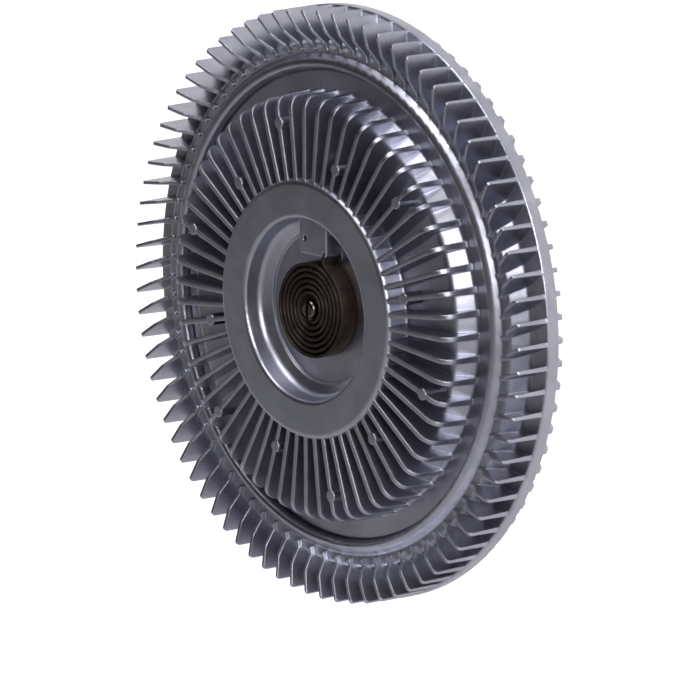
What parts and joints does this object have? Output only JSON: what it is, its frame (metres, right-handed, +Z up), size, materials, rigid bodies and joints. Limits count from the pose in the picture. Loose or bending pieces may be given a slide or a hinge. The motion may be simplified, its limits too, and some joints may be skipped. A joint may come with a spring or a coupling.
{
  "type": "viscous fan clutch",
  "caption": "Viscous fan clutch with finned cast housing and cover, bimetal coil valve, rotor, ball bearing and flanged drive shaft.",
  "frame": {"origin": "centre of the drive flange's rear mounting face, on the shaft's axis", "axes": "+Y rearward along the shaft towards the engine, +Z up with the bimetal coil's lug at the top, +X to the right seen from the front"},
  "size_m": [0.26, 0.092, 0.26],
  "materials": {
    "cast_housing": "die-cast, satin",
    "cast_cover": "die-cast, satin",
    "machined_rotor": "machined",
    "turned_steel": "turned",
    "fastener_steel": "zinc plated",
    "bearing_steel": "ground and polished",
    "spring_steel": "phosphated",
    "sheet_steel": "rolled sheet",
    "bimetal": "blackened strip",
    "seal_rubber": "moulded",
    "cage_brass": "machined"
  },
  "bodies": {
    "drive": {"drive_shaft": "turned_steel", "rotor": "machined_rotor", "rotor_washer": "fastener_steel", "rotor_nut": "fastener_steel", "bearing_inner_ring": "bearing_steel"},
    "housing": {"rear_housing": "cast_housing", "front_cover": "cast_cover", "cover_seal_ring": "seal_rubber", "divider_plate": "sheet_steel", "divider_plate_rivets": "fastener_steel", "scavenge_wipers": "sheet_steel", "bearing_outer_ring": "bearing_steel", "bearing_front_seal": "seal_rubber", "bearing_rear_seal": "seal_rubber", "bearing_retaining_ring": "spring_steel", "filler_plug": "fastener_steel"},
    "ball_set": {"bearing_balls": "bearing_steel", "bearing_cage": "cage_brass"},
    "valve": {"valve_shaft": "turned_steel", "valve_shaft_seal": "seal_rubber", "valve_shaft_clip": "spring_steel", "valve_arm": "sheet_steel", "bimetal_coil": "bimetal"}
  },
  "joints": [
    {"name": "housing_spin", "type": "hinge", "parent": "drive", "child": "housing", "pos_m": [0, -0.0345, 0], "axis": [0, -1, 0], "continuous": true},
    {"name": "ball_set_spin", "type": "hinge", "parent": "drive", "child": "ball_set", "pos_m": [0, -0.0345, 0], "axis": [0, -1, 0], "continuous": true},
    {"name": "valve_turn", "type": "hinge", "parent": "housing", "child": "valve", "pos_m": [0, -0.08, 0], "axis": [0, -1, 0], "range_deg": [0, 40], "stiffness_Nm_per_rad": 0.05, "deforming": ["bimetal_coil"]}
  ],
  "couplings": [
    {"joint": "ball_set_spin", "follows": "housing_spin", "ratio": 0.6068}
  ]
}
